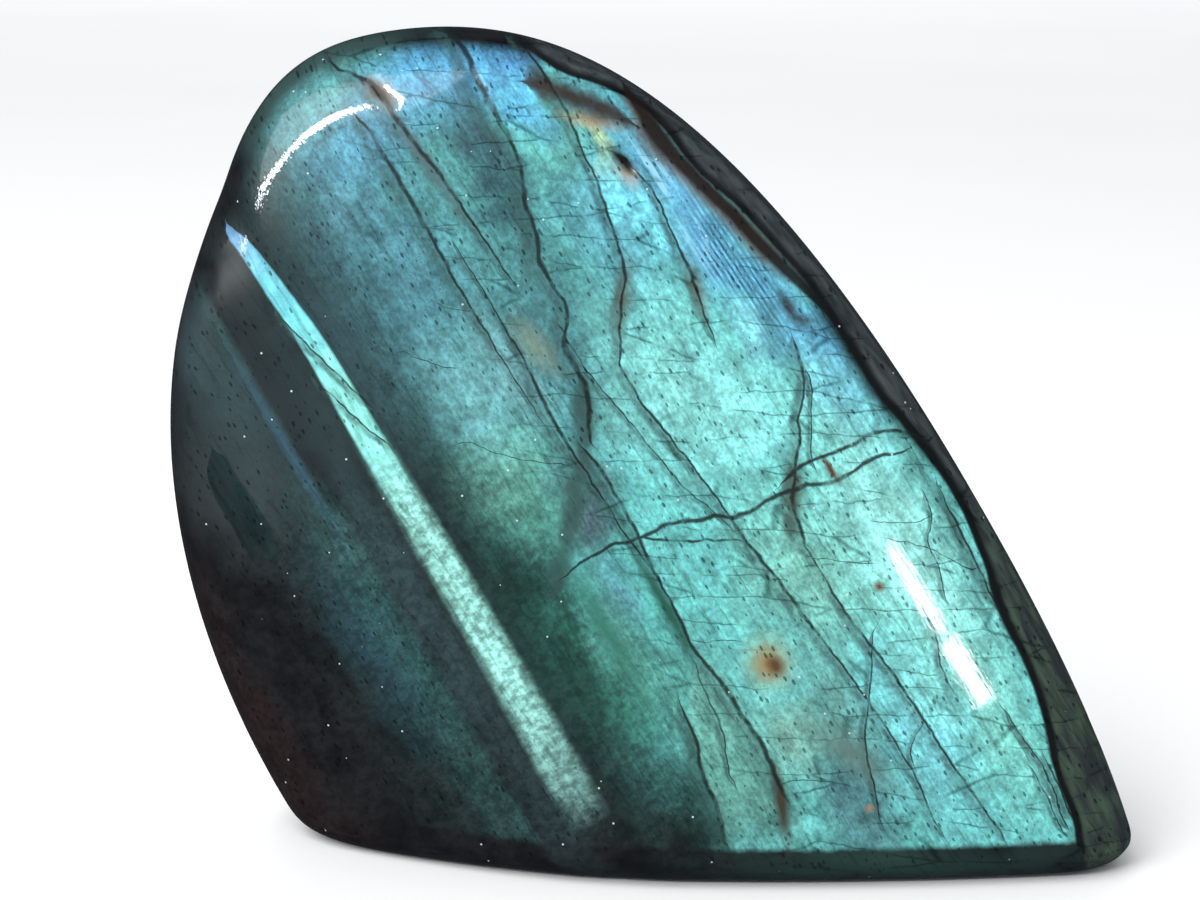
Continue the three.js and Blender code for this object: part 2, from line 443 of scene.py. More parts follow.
def patch(at_across, at_along, half_width, half_length, turn=0.0, where=drifting, strong=1.0):
    """A soft elliptical zone, which falls to half its strength at the half width and half length given."""
    sizes = (FADE * half_width, FADE * half_length, ANY_DEPTH)
    centre = (at_across, at_along, 0.0)
    if turn:
        turned = (0.0, 0.0, math.radians(turn))
        spot = add("Mapping", {0: where, 1: centre, 2: turned, 3: sizes}, vector_type="TEXTURE")
    else:
        smaller = [1.0 / size for size in sizes]
        shift = [-at / size for at, size in zip(centre, sizes)]
        spot = add("VectorMath", {0: where, 1: smaller, 2: shift}, operation="MULTIPLY_ADD")
    zone = add("TexGradient", {0: spot}, gradient_type="SPHERICAL").node.outputs["Fac"]
    return add("Math", {0: zone, 1: FADE * strong}, **PRODUCT, use_clamp=True)


def masked(amount, *masks):
    """The amount times each mask: 0 hides it and 1 keeps it."""
    for mask in masks:
        amount = add("Math", {0: amount, 1: mask}, **PRODUCT)
    return amount


# %% [markdown]
# ## Where the layers flash
# The flash shows where the layers lie nearly flat to the eye: on the large front face. It ends at a crisp
# line above the sawn base and along the bevel on the right, where the layers are cut across, and it dies
# away over the rounds. Left of the bright stripe the crystal is twinned, its layers lean the other way, and
# the face stays nearly black.

# %% The edges of the flash
FACE_EDGE = [
    # along, across
    (-84, 26.5), (-77, 30.3), (-72, 32.6), (-68, 35.8), (-64, 38), (-57, 39.3),
    (-52, 40.9), (-47, 42), (-42, 43), (-36, 43.3), (-30, 43.5), (-25, 44.3),
    (-18, 44.9), (-11, 44.2), (-6, 43), (0, 42.6), (5.5, 41.5), (11, 39.7),
    (16, 38.9), (22, 37),
]
past_edge, _, _ = vein([(*spot, 1) for spot in FACE_EDGE], 1.0, where=gentle_shares)
edge_softness = curve(
    gentle_shares[1], ALONG_SPAN, [(-66, 0.1), (-44, 0.3), (-36, 0.75), (-26, 0.5), (-10, 0.15)]
)
before_edge = add("Math", {0: past_edge, 1: edge_softness}, operation="DIVIDE")
on_face = add("MapRange", {0: before_edge, 1: 0, 2: -3}, **SMOOTH)
facing = add("Math", {0: normal_y}, operation="ABSOLUTE")
on_flat = add("MapRange", {0: facing, 1: 0.42, 2: 0.88}, **SMOOTH)
# The back, 8 mm behind the middle, flashes half as much.
flash_share = add("MapRange", {0: depth, 1: 0, 2: 8, 3: 1, 4: 0.5}, **SMOOTH)
ragged_height = add("VectorMath", {0: wobbly, 1: (ACROSS[2], ALONG[2], 0.0)}, operation="DOT_PRODUCT")
above_foot = add("MapRange", {0: ragged_height.node.outputs["Value"], 1: 3.9, 2: 4.7}, **SMOOTH)

# How bright the flash is from left to right, at the top and at the foot of the stone.
UPPER_GLOW = [
    # across, brightness
    (-20, 0), (-14, 0.02), (-9.5, 0.03), (-8, 0.06), (-7.4, 0), (-3, 0.02), (1, 0.05), (3, 0.12),
    (5, 0.28), (7, 0.52), (10, 0.7), (13, 0.72), (16, 0.72), (20, 0.72), (26, 0.78), (31, 0.9), (36, 0.95),
    (42, 0.85),
]
LOWER_GLOW = [
    (-20, 0), (-15, 0.02), (-12, 0.04), (-9, 0.12), (-7.6, 0.12), (-6.2, 0.02), (-3.4, 0.02), (1, 0.02),
    (3.2, 0.08), (6, 0.44), (9, 0.76), (12, 0.88), (15, 0.9), (17, 0.95), (22, 0.98), (41, 1),
]
upper_glow = curve(wobbly_shares[0], ACROSS_SPAN, UPPER_GLOW)
lower_glow = curve(wobbly_shares[0], ACROSS_SPAN, LOWER_GLOW)
drift_along = add("SeparateXYZ", {0: drifting}).node.outputs["Y"]
lower_share = add("MapRange", {0: drift_along, 1: -53, 2: -44}, **SMOOTH)
glow = add("Mix", {0: lower_share, 2: upper_glow, 3: lower_glow})

# %% [markdown]
# ## Colours of the flash
# The colour depends on how thick the layers are: turquoise over most of the face, blue where they are
# thinner, towards the top and the right, and green where they are thicker, low in the middle.

# %% Flash colour
flash = hue("#63b9b6")
FLASH_ZONES = [
    # colour, strength, across, along, half width, half length, turn if any
    ("#52909c", 0.9, 9, -66, 8, 20),
    ("#4c858c", 0.7, 18, -50, 7, 12, 10),
    ("#62aac4", 0.8, 14, -76, 6, 3.4),
    ("#66c0ee", 1, 23, -78, 6, 4.5, 20),
    ("#4a80bc", 0.7, 28.5, -75, 2, 2.6, -30),
    ("#60a8c8", 0.85, 36.5, -54, 3.2, 15, -8),
    ("#5aa4c4", 0.8, 40.5, -37, 3, 9, -4),
    ("#66b4c4", 0.7, 30, -57, 4, 8),
    ("#7cc8c4", 0.8, 27, -40, 6, 9),
    ("#88dcd8", 0.8, 31, -35, 4, 5),
    ("#76bcb0", 0.8, 29, -19, 6, 8),
    ("#90dcd4", 0.9, 38, -16, 4.5, 16),
    ("#78c8bc", 0.6, 37, 3, 4, 9),
    ("#72c6cc", 0.8, 30, 0, 4, 9),
    ("#487c80", 0.9, 22, 2, 3.4, 6, 20),
    ("#5f9a94", 0.8, 24.5, -7, 3, 5),
    ("#2f6e60", 0.9, 5.5, -23, 3.2, 11),
    ("#64a4b4", 0.8, 12.6, -27, 2, 4),
    ("#5a9a8a", 0.8, 9, -40, 5, 6),
    ("#4c7678", 0.85, 14, -36, 2.6, 4, 30),
    ("#3b7470", 0.8, 8, -5, 5, 6),
    ("#62a698", 0.6, 13.4, -9, 3, 8),
    ("#3f6f76", 0.85, 22.3, -68, 2.6, 8),
    ("#a9c795", 0.85, 32.3, -64, 0.9, 3.4),
    ("#7ab8bc", 0.6, 14.5, -50, 2.6, 6),
    ("#66ac9e", 0.75, 8.5, -42, 3.6, 3.6),
    ("#1e4a44", 0.95, 5, -32, 3.4, 3.4, 35),
    ("#60a89c", 0.75, 10.5, -21, 2.6, 7),
    ("#55707a", 0.75, 13.2, -34, 2.2, 2.6, 30),
    ("#34464c", 0.85, 40.2, -41, 1, 2.6, -10),
    ("#4f8890", 0.6, 37.5, -41, 1.6, 2.4),
    ("#5fa09c", 0.6, 21, -42, 2.4, 3),
    ("#3a8272", 0.6, 7.5, -17, 2.6, 4),
    ("#3f6c68", 0.7, 14, -2, 3, 3, 20),
    ("#183832", 0.8, 6, -3, 3, 3, 20),
    ("#4a7c80", 0.6, 21, 6, 3, 4, 20),
    ("#58988c", 0.6, 29, -67, 2, 4),
    ("#37686c", 0.7, 21.5, -63, 2.4, 4),
    ("#76bcc0", 0.6, 9.5, -50, 3.2, 6),
    ("#74b4c6", 0.35, 8.5, -71, 2.2, 3),
    ("#3a5c66", 0.7, 24, -71, 1.1, 4),
    ("#6ac8f0", 0.85, 28.2, -71, 1.5, 3.6),
    ("#7ce0f4", 0.7, 32.3, -58, 1.2, 5),
    ("#4f9098", 0.5, 27.5, -59, 1.6, 4),
    ("#8ad6e4", 0.5, 35.6, -41, 1, 3),
    ("#4c8884", 0.7, 43, -17, 0.9, 10),
    ("#72a294", 0.7, 19.5, -6, 2.2, 5),
    ("#8ce4de", 0.6, 32.6, -4, 2, 5),
]
for code, strong, *spot in FLASH_ZONES:
    zone = patch(*spot, strong=strong)
    flash = add("MixRGB", {0: zone, 1: flash, 2: hue(code)})

# %% [markdown]
# The lowest long crack parts two tones: right of it the face is bright, left of it duller.

# %% Step along a crack
STEP = [
    # along, across
    (-47, 15.4), (-40, 15.5), (-38, 16.5), (-30, 16.7), (-25, 16.3), (-20, 16),
    (-18, 15.6), (-15, 13.4), (-13, 12), (-10, 11.5), (-8, 10.6), (-6, 10.1),
    (-3, 9.6), (0, 9), (4, 8),
]
past_step, _, _ = vein([(*spot, 1) for spot in STEP], 1.0)
brighter = add("MapRange", {0: past_step, 1: -0.15, 2: 0.2}, **SMOOTH)
low = add("MapRange", {0: along, 1: -22, 2: -14}, **SMOOTH)
left_of_middle = add("MapRange", {0: across, 1: 19, 2: 15, 3: 0, 4: 0.8}, **SMOOTH)
above_the_foot = add("MapRange", {0: along, 1: 1, 2: -5, 3: 0.3, 4: 1}, **SMOOTH)
low_right = masked(brighter, low, left_of_middle, above_the_foot)
flash = add("MixRGB", {0: low_right, 1: flash, 2: hue("#68aca0")})
left_of_step = add("MapRange", {0: past_step, 1: 0.2, 2: -0.15}, **SMOOTH)
beside_crack = add("MapRange", {0: along, 1: -41, 2: -37}, **SMOOTH)
duller = masked(left_of_step, beside_crack)
flash = add("MixRGB", {0: duller, 1: flash, 2: hue("#dde8e5")}, **TINT)

# %% [markdown]
# ## Noise in the stone
# Clouds, mottles and grain are all noise, drawn out along the layers or across them. Each has so many
# features per millimetre, more of them in a direction whose stretch is above 1 and fewer below.

# %% Noise
NOISES = [
    # place, stretch, features per mm, detail, roughness
    (grain, (1, 1, 1), 0.22, 2, 0.55),  # cloudy: soft clouds, 4 to 5 mm across
    (grain, (1, 0.07, 0.3), 1.6, 2, 0.6),  # layered: thin layers, a centimetre long
    (wobbly, (1, 1.3, 1), 1, 2, 0.7),  # rippled: folds, a millimetre apart
    (grain, (1, 0.22, 1), 0.9, 2, 0.6),  # streaky: streaks along the bevel
    (grain, (1, 1, 1), 0.42, 3, 0.66),  # mottled: mottles, 2 to 3 mm across
    (grain, (1, 0.6, 1), 2.8, 2, 0.65),  # grainy: a grain of a third of a millimetre
    (grain, (1, 0.18, 1), 2.4, 2, 0.6),  # brushed: scuffs along the banding
]
drawn = []
for where, stretch, per_mm, detail, roughness in NOISES:
    stretched = add("VectorMath", {0: where, 1: stretch}, **PRODUCT)
    wires = {"Vector": stretched, "Scale": per_mm, "Detail": detail, "Roughness": roughness}
    drawn.append(add("TexNoise", wires))
cloudy, layered, rippled, streaky, mottled, grainy, brushed = drawn

# %% [markdown]
# ## The dark body
# Where nothing flashes, labradorite is a smoky grey that looks almost black when polished: warmer and
# browner at the left rim, slate-blue beside the stripe, and grey to olive green on the bevel at the right.
# On the left rim, where the surface turns away, a reddish reflection is painted into the colour.

# %% Body colour
smoky = add("MapRange", {0: cloudy, 1: 0.35, 2: 0.65}, **SMOOTH)
body = add("MixRGB", {0: smoky, 1: hue("#101114"), 2: hue("#1a1c1e")})
drift_across = add("SeparateXYZ", {0: drifting}).node.outputs["X"]
rim_brown = add("MapRange", {0: drift_across, 1: -21, 2: -28, 3: 0, 4: 0.5}, **SMOOTH)
body = add("MixRGB", {0: rim_brown, 1: body, 2: hue("#2a1615")})
# Painted reflection: the left rim turns reddish where its surface turns away from the front.
rim_reflection_share = add("MapRange", {0: facing, 1: 0.5, 2: 0.1, 3: 0, 4: 0.22}, **SMOOTH)
far_left = add("MapRange", {0: across, 1: 0, 2: -14}, **SMOOTH)
painted_rim_reflection = masked(rim_reflection_share, far_left)
SLATE_ZONES = [
    # colour, strength, across, along, half width, half length, turn if any
    ("#2b383c", 0.9, -11, -62, 4, 12),
    ("#2d3538", 0.8, -16, -53, 5, 7),
    ("#26363a", 0.85, -4.6, -36, 2.4, 30),
    ("#263a40", 0.6, 2, -60, 3, 14),
    ("#163c36", 0.6, 4, -26, 5, 16),
    ("#1d3a44", 0.6, -11.5, -33, 3.4, 9),
    ("#35504e", 0.7, 10, -85, 16, 4),
    ("#24403c", 0.75, 22, 10.6, 18, 2.6, 31),
]
for code, strong, *spot in SLATE_ZONES:
    zone = patch(*spot, strong=strong)
    body = add("MixRGB", {0: zone, 1: body, 2: hue(code)})
# A dark, lens-shaped inclusion lies left of the stripe.
LENS = [
    # along, across, strength
    (-58.2, -15.3, 0), (-57, -15.6, 0.4), (-54, -16.2, 0.9), (-50, -16.1, 1), (-46, -16.2, 0.9),
    (-41, -16, 0.5),
]
_, _, from_lens = vein(LENS, 1.9, where=gentle_shares)
lens = add("MapRange", {0: from_lens, 1: 1.05, 2: 0.85}, **SMOOTH)
lens_foot = add("MapRange", {0: along, 1: -42, 2: -49}, **SMOOTH)
lens_grain = add("MapRange", {0: layered, 1: 0.3, 2: 0.6, 3: 0.95, 4: 0.7}, **SMOOTH)
lens = masked(lens, lens_foot, lens_grain)
body = add("MixRGB", {0: lens, 1: body, 2: hue("#04171a")})
blue_edge = patch(-8.4, -54, 0.5, 10, where=gentle, strong=0.5)
body = add("MixRGB", {0: blue_edge, 1: body, 2: hue("#2c4a60")})
# The painted reddish reflection on the left rim goes on last.
body = add("MixRGB", {0: painted_rim_reflection, 1: body, 2: hue("#4a2823")})
# Small folds ripple the stone along the stripe, except at its upper end.
ripples = add("MapRange", {0: rippled, 1: 0.34, 2: 0.66, 3: 0.6, 4: 1.4}, **SMOOTH)
rippled_here = add("MapRange", {0: along, 1: -54, 2: -42}, **SMOOTH)
ripple_gain = add("Mix", {0: rippled_here, 2: 1.0, 3: ripples})
near_stripe = add("MapRange", {0: across, 1: 12, 2: 6, 3: 0, 4: 0.6}, **SMOOTH)
folded = masked(rippled_here, near_stripe)
fold_gain = add("Mix", {0: folded, 2: 1.0, 3: ripples})
body = add("MixRGB", {0: 1.0, 1: body, 2: fold_gain}, **TINT)
olive_share = add("MapRange", {0: along, 1: -34, 2: 4}, **SMOOTH)
bevel_colour = add("MixRGB", {0: olive_share, 1: hue("#474f52"), 2: hue("#435748")})
bevel_streaks = add("MapRange", {0: streaky, 1: 0.3, 2: 0.7}, **SMOOTH)
bevel_dark = add("MixRGB", {0: bevel_streaks, 1: hue("#2b3234"), 2: bevel_colour})
past_face = add("MapRange", {0: past_edge, 1: 0.2, 2: 0.9}, **SMOOTH)
body = add("MixRGB", {0: past_face, 1: body, 2: bevel_dark})

# %% [markdown]
# Light and dark run through the flash in soft mottles about 2 mm across, in a fine grain, and in faint
# streaks along the banding, where single layers end. In the blue zone the ends of a few layers show as fine
# ridges, side by side, less than half a millimetre apart.

# %% Mottle and streaks
mottle_gain = add("MapRange", {0: mottled, 1: 0.3, 2: 0.7, 3: 0.72, 4: 1.24}, **SMOOTH)
grain_gain = add("MapRange", {0: grainy, 1: 0.33, 2: 0.67, 3: 0.76, 4: 1.2}, **SMOOTH)
layer_gain = add("MapRange", {0: layered, 1: 0.32, 2: 0.68, 3: 0.84, 4: 1.12}, **SMOOTH)
for gain in (mottle_gain, grain_gain, layer_gain, fold_gain):
    flash = add("MixRGB", {0: 1.0, 1: flash, 2: gain}, **TINT)

streaks = add("MapRange", {0: layered, 1: 0.5, 2: 0.6}, **SMOOTH)
by_bevel = patch(35.8, -57, 1.8, 7, -6)
pale_streaks = masked(streaks, by_bevel)
flash = add("MixRGB", {0: pale_streaks, 1: flash, 2: hue("#8cc8e0")})
RIDGE_SPACING = 0.45
RIDGE_DIRECTION = (1.0, -0.06, 0.0)
ridge_place = add("VectorMath", {0: gentle, 1: RIDGE_DIRECTION}, operation="DOT_PRODUCT").node
ridge_turn = add("Math", {0: ridge_place.outputs["Value"], 1: 2 * math.pi / RIDGE_SPACING}, **PRODUCT)
ridge_wave = add("Math", {0: ridge_turn}, operation="SINE")
ridges = add("MapRange", {0: ridge_wave, 1: -0.5, 2: 0.7}, **SMOOTH)
ridge_gaps = add("MapRange", {0: grainy, 1: 0.3, 2: 0.55}, **SMOOTH)
blue_zone = patch(37.8, -47.5, 1.9, 8, strong=0.95)
ridges = masked(ridges, ridge_gaps, blue_zone)
flash = add("MixRGB", {0: ridges, 1: flash, 2: hue("#2f5c80")})
glow = add("Math", {0: glow, 1: low_right}, operation="MAXIMUM")
glow = masked(glow, on_face, on_flat, above_foot, flash_share)

# %% [markdown]
# ## The bright stripe
# One lamella of the left-hand twin lies the same way as the right-hand crystal and flashes as a narrow,
# bright stripe, blue at its upper tip and pale green below.

# %% Stripe
STRIPE = [
    # along, across, strength
    (-75, -2.7, 0.22), (-73, -2.1, 0.42), (-67, -1.3, 0.58), (-58, -0.75, 0.7), (-41, -0.75, 0.82),
    (-27, -0.9, 0.88), (-13, -1.3, 1), (-6, -1.5, 1),
]
_, _, from_stripe = vein(STRIPE, 2.0, where=gentle_shares)
crisp = add("MapRange", {0: from_stripe, 1: 1.04, 2: 0.74}, **SMOOTH)
blurred = add("MapRange", {0: from_stripe, 1: 1.3, 2: 0.5}, **SMOOTH)
stripe = add("Mix", {0: rippled_here, 2: crisp, 3: blurred})
STRIPE_TONES = [
    # along from, along to, colour from there on
    (-76, -66, "#70ced8"),
    (-66, -56, "#84d8ce"),
    (-52, -42, "#84c2b8"),
    (-30, -10, "#6f9f99"),
]
stripe_tone = hue("#5f8cb4")
for start, end, code in STRIPE_TONES:
    reached = add("MapRange", {0: along, 1: start, 2: end}, **SMOOTH)
    stripe_tone = add("MixRGB", {0: reached, 1: stripe_tone, 2: hue(code)})
stripe_mottle = add("MapRange", {0: mottled, 1: 0.35, 2: 0.65, 3: 0.78, 4: 1.16}, **SMOOTH)
stripe_layers = add("MapRange", {0: layered, 1: 0.35, 2: 0.65, 3: 0.74, 4: 1.12}, **SMOOTH)
for gain in (ripple_gain, stripe_mottle, stripe_layers):
    stripe_tone = add("MixRGB", {0: 1.0, 1: stripe_tone, 2: gain}, **TINT)

skin = add("MixRGB", {0: glow, 1: body, 2: flash})
# The stripe fades towards the back, and at the foot.
stripe_front = add("MapRange", {0: depth, 1: 0, 2: 8, 3: 1, 4: 0.15}, **SMOOTH)
stripe_foot = add("MapRange", {0: along, 1: -7.5, 2: -14}, **SMOOTH)
stripe = masked(stripe, on_flat, stripe_front, stripe_foot)
skin = add("MixRGB", {0: stripe, 1: skin, 2: stripe_tone})

# %% [markdown]
# ## Cracks
# Feldspar cleaves along its layers, so most cracks follow the banding, and a few fractures cross it. They
# lie just under the polish: dark lines, at most three quarters of a millimetre wide, thick and thin by turns.
# On its left side each crack along the banding shades the layers a little. A wide, dark cloud crosses the
# middle of the face, where many small cracks lie deep.

# %% Cracks along the banding
ALONG_CRACKS = [
    # half width, points: along, across, strength
    (0.27, [
        (-78.5, 13.9, 0.3), (-76, 14.3, 0.8), (-70, 14.4, 1), (-65, 14.3, 0.8), (-60, 14.2, 0.6),
        (-50, 14.3, 0.35), (-43, 14.5, 0.1), (-40, 14.3, 0), (-18, 12.8, 0), (-13, 11.8, 0.7),
        (-10.5, 11.6, 0.9), (-9, 10.9, 1), (-7, 10.3, 1), (-4.5, 10, 1), (-2.5, 9.6, 1), (-0.5, 8.9, 0.9),
    ]),
    (0.33, [
        (-84, 14, 0.5), (-82, 15.1, 0.6), (-80, 16.5, 1), (-78, 16.9, 1), (-74, 17.3, 0.8), (-70, 17.9, 0.7),
        (-64, 18.4, 0.45), (-58, 18.8, 0.3), (-54, 19, 0), (-42, 16.4, 0), (-37.5, 17, 0.7), (-34, 17, 0.6),
        (-30, 16.8, 0.7), (-27, 16.4, 0.6), (-24, 16.3, 0.5), (-21, 16.1, 0.6), (-19, 15.9, 0.6),
        (-14, 16.5, 0.9), (-10.5, 16.6, 0.8), (-7, 16.8, 1), (-4, 16.4, 0.9), (-1, 16.1, 0.5),
    ]),
    (0.24, [
        (-63, 15.9, 0.2), (-57, 16, 0.35), (-50, 15.9, 0.6), (-47, 15.7, 1), (-44, 15.5, 1), (-41, 15.5, 0.8),
        (-38, 15.7, 0.5), (-33, 15.8, 0.5), (-28.5, 16.1, 0.5), (-26, 16.3, 0), (-19, 15.4, 0),
        (-17, 15.2, 0.4), (-14, 14.6, 0.45), (-10.5, 14.3, 0.5), (-8, 13.3, 0.4), (-5, 12.6, 0.2),
    ]),
    (0.38, [
        (-83, 24.3, 0.5), (-80, 25.3, 0.8), (-77, 25.8, 0.9), (-75, 25.5, 1), (-69, 25.4, 0.8),
        (-67, 25.2, 0.6), (-65, 24.6, 0.6), (-63.3, 23.8, 0.8), (-61, 23.3, 0.7), (-59, 22.7, 0.9),
        (-57.3, 22, 0.9), (-55, 21.9, 0.5), (-53, 22.1, 0.6), (-52, 21.8, 0.8), (-51, 21, 0.9),
        (-50, 20.2, 0.9), (-48.5, 19.9, 0.9), (-46, 19.9, 0.7), (-44.3, 19.4, 0.9), (-42.5, 18.5, 0.8),
        (-40.5, 17.6, 0.4),
    ]),
    (0.22, [
        (-77, 30.3, 0.5), (-74, 31, 0.6), (-69, 31.3, 0.8), (-67, 31.2, 0.8), (-65, 30.8, 0.6),
        (-62, 30.6, 0.7), (-58, 29.8, 0.8), (-55.5, 29.3, 0.7), (-53.5, 28.8, 0.9), (-52, 28.2, 1),
        (-50.3, 26.8, 0.9), (-48.5, 25.5, 0.8), (-46.5, 24.5, 0.8), (-45, 23.6, 0.6), (-42, 23.6, 0.6),
        (-38, 24, 0.7), (-34, 24.6, 0.6), (-30, 25, 0.6), (-27, 25.3, 0.8), (-24, 25.5, 0.9),
        (-21, 26, 0.9), (-18, 26.3, 1), (-15, 26.6, 0.9), (-12, 27, 0.7), (-6, 27.6, 0.6), (2, 27.9, 0.6),
        (9.5, 27.2, 0.4),
    ]),
    (0.25, [
        (-61, 33.9, 0.5), (-58, 34.6, 0.5), (-55, 34.4, 0.5), (-52, 34.1, 0.6), (-50, 33.9, 0.8),
        (-48, 33.5, 0.7), (-46, 33.1, 0.6), (-43, 32.6, 0.3), (-41, 32.3, 0), (-40, 39.2, 0),
        (-38, 38.8, 0.8), (-36, 38.4, 0.9), (-34.5, 37.7, 0.8), (-33.2, 36.7, 0.8), (-32, 35.5, 0.8),
        (-30.7, 34.9, 0.9), (-28.3, 33, 1), (-27, 32, 1), (-25.8, 31.3, 1), (-24, 30.7, 1), (-22, 30.2, 0.9),
        (-20, 30, 0.5),
        (-14, 30.1, 0.6), (-11, 30.4, 0.7), (-8, 30.9, 0.7), (-1, 31.3, 0.6), (6, 31.6, 0.6),
        (13, 32.1, 0.5),
    ]),
    (0.15, [
        (-51.5, 20.5, 0.3), (-49, 20.5, 0.6), (-44, 21, 0.6), (-40, 21.7, 0.5), (-36, 22.3, 0.6),
        (-32, 23, 0.6), (-29.5, 23.9, 0.5), (-26, 25, 0.4), (-24, 25.2, 0), (-12, 32.8, 0),
        (-10.5, 31.2, 0.6), (-8.8, 30.2, 0.8), (-6, 28.2, 0.9), (-2.8, 25.9, 1), (-0.7, 24.9, 0.9),
        (3.5, 23.5, 0.7), (6.5, 22.7, 0.3),
    ]),
    (0.14, [
        (-66, -2.3, 0.5), (-63, -1.7, 0.8), (-60, -0.8, 0.9), (-57, 0.1, 0.9), (-54, 1, 0.6), (-52, 1.2, 0),
        (-36, 38.6, 0), (-34.2, 38.3, 0.8), (-32, 37, 0.6), (-29, 35.2, 0.7), (-27.5, 34.6, 0.3),
        (-26, 34.6, 0), (-10, 36.9, 0), (-7, 36.4, 0.8), (-5, 35.6, 0.8), (-2, 35.1, 0.5), (-0.5, 35.2, 0),
        (1, 38.3, 0), (6, 38.6, 0.8), (9, 38.9, 0.8), (12, 38.6, 0.7), (15.5, 38, 0.7),
    ]),
    (0.14, [
        (-59, -2.4, 0.4), (-56, -1.6, 0.7), (-53, -0.7, 0.8), (-50, 0.6, 0.7), (-48, 1, 0), (-22, 44.2, 0),
        (-17, 43.6, 0.9), (-14, 43.5, 1), (-11, 43.2, 1), (-7, 42.9, 0.9), (-5, 42.5, 0), (-2, 31.8, 0),
        (-0.9, 31.3, 0.6), (0.2, 29.6, 0.7), (2, 28.3, 0.6), (3.5, 28.2, 0), (7, 37.8, 0), (12, 37.8, 0.7),
        (15.5, 37.4, 0.7),
    ]),
    (0.13, [
        (-20.5, 42.5, 0), (-19, 42.3, 0.6), (-16.8, 41.6, 0.7), (-15.6, 40.4, 0.7), (-12.5, 39.9, 0.7),
        (-10, 39.1, 0.5), (-8, 39, 0), (7, 39.6, 0), (9.5, 39.4, 0.8), (12, 39.2, 0.9), (15, 38.8, 0.9),
    ]),
]

ACROSS_CRACKS = [
    # half width, points: across, along, strength
    (0.3, [
        (8.5, -30.7, 0.2), (11, -31.1, 0.5), (14, -31, 0.7), (17, -30.3, 0.8), (20, -30, 0.9),
        (22, -29, 1), (24, -28.4, 1), (25.5, -27.4, 1), (27.5, -27, 0.9), (30, -26.8, 0.9), (33, -26.2, 1),
        (35.2, -25.2, 1), (37, -25, 0.9), (40, -25, 0.8), (43, -23.8, 0.4),
    ]),
    (0.27, [
        (16.8, -30.4, 0.5), (18, -29.5, 0.7), (20, -28, 0.7), (22, -26.9, 0.7), (24.5, -25.4, 0.6),
        (26, -24.7, 0), (29.5, -26.9, 0), (32, -27.9, 0.8), (34, -28.1, 0.9), (36, -27.6, 0.9),
        (39, -27.2, 0.9), (41.5, -26.9, 0.9), (43, -26, 1), (44, -25, 1), (45.3, -23.3, 0.8),
    ]),
    (0.1, [
        (6.5, -46.8, 0.4), (9, -44.3, 0.7), (12, -41.5, 0.7), (14.3, -39.8, 0.5), (15.2, -39, 0),
        (16, -19.6, 0), (16.6, -19, 0.7), (20, -16.8, 0.5), (21, -16, 0), (29, -20.5, 0), (30.5, -19.6, 0.6),
        (34.5, -16.6, 0.5), (35.6, -16, 0), (36.3, -18.5, 0), (37, -17.8, 0.6), (40, -14.8, 1),
        (43.3, -10.5, 0.7),
    ]),
    (0.1, [
        (6, -57, 0.3), (7.5, -55.4, 0.8), (10, -53, 0.6), (10.8, -52.6, 0), (11, -60, 0), (11.5, -59.2, 0.6),
        (13.8, -57, 0.6), (14.8, -56.5, 0), (15, -4, 0), (18, -2.2, 0.6), (20.5, -0.6, 0.3), (21.5, 0, 0),
        (30, -7.6, 0), (31, -6.8, 0.6), (34.5, -4, 0.5), (35.5, -3.6, 0), (36.2, -20.2, 0), (37, -19.7, 0.6),
        (41.5, -17.3, 0.6),
    ]),
]

# The shade lies 3 half widths beside the crack, and the back shows all of this a little weaker.
SHADE_SHIFT = 3.0
in_front = add("MapRange", {0: depth, 1: 7, 2: 1, 3: 0.8, 4: 1}, **SMOOTH)
CLOUD = [
    # along, across, strength
    (-48, 20.2, 0), (-45.5, 19.6, 0.7), (-42, 17.8, 1), (-38, 14.6, 0.9), (-35, 12, 1),
    (-32, 9.2, 1), (-30, 7.4, 0.6), (-28, 6, 0),
]
_, _, from_cloud = vein(CLOUD, 1.5)
clouded = add("MapRange", {0: from_cloud, 1: 1.6, 2: 0.1, 3: 0, 4: 0.8}, **SMOOTH)
skin = add("MixRGB", {0: clouded, 1: skin, 2: hue("#2c4744")})
FAR = 9.0
nearest = FAR
nearest_left = FAR
for crossing, cracks in ((False, ALONG_CRACKS), (True, ACROSS_CRACKS)):
    for half_width, points in cracks:
        _, ratio, off = vein(points, half_width, crossing)
        nearest = add("Math", {0: off, 1: nearest}, operation="MINIMUM")
        if not crossing:
            beside = add("Math", {0: ratio, 1: SHADE_SHIFT}, operation="ADD")
            beside = add("Math", {0: beside}, operation="ABSOLUTE")
            nearest_left = add("Math", {0: beside, 1: nearest_left}, operation="MINIMUM")
cracked = add("MapRange", {0: nearest, 1: 1.3, 2: 0.3, 3: 0, 4: 0.93}, **SMOOTH)
by_turns = add("MapRange", {0: mottled, 1: 0.36, 2: 0.52, 3: 0.55, 4: 1}, **SMOOTH)
cracked = masked(cracked, by_turns, in_front)
shaded = add("MapRange", {0: nearest_left, 1: 4.6, 2: 0.4}, **SMOOTH)
uneven = add("MapRange", {0: mottled, 1: 0.38, 2: 0.6, 3: 0.2, 4: 0.8}, **SMOOTH)
shaded = masked(shaded, in_front, uneven)
skin = add("MixRGB", {0: shaded, 1: skin, 2: hue("#2f4a4a")})

# %% [markdown]
# Between the cracks runs a net of hairline ones, mostly level in the stone as it stands. The borders of
# stretched Voronoi cells draw it, and the clouds in the stone decide where they show. In the real stone
# they are hundredths of a millimetre wide. They're drawn wider here, so that they show at all.

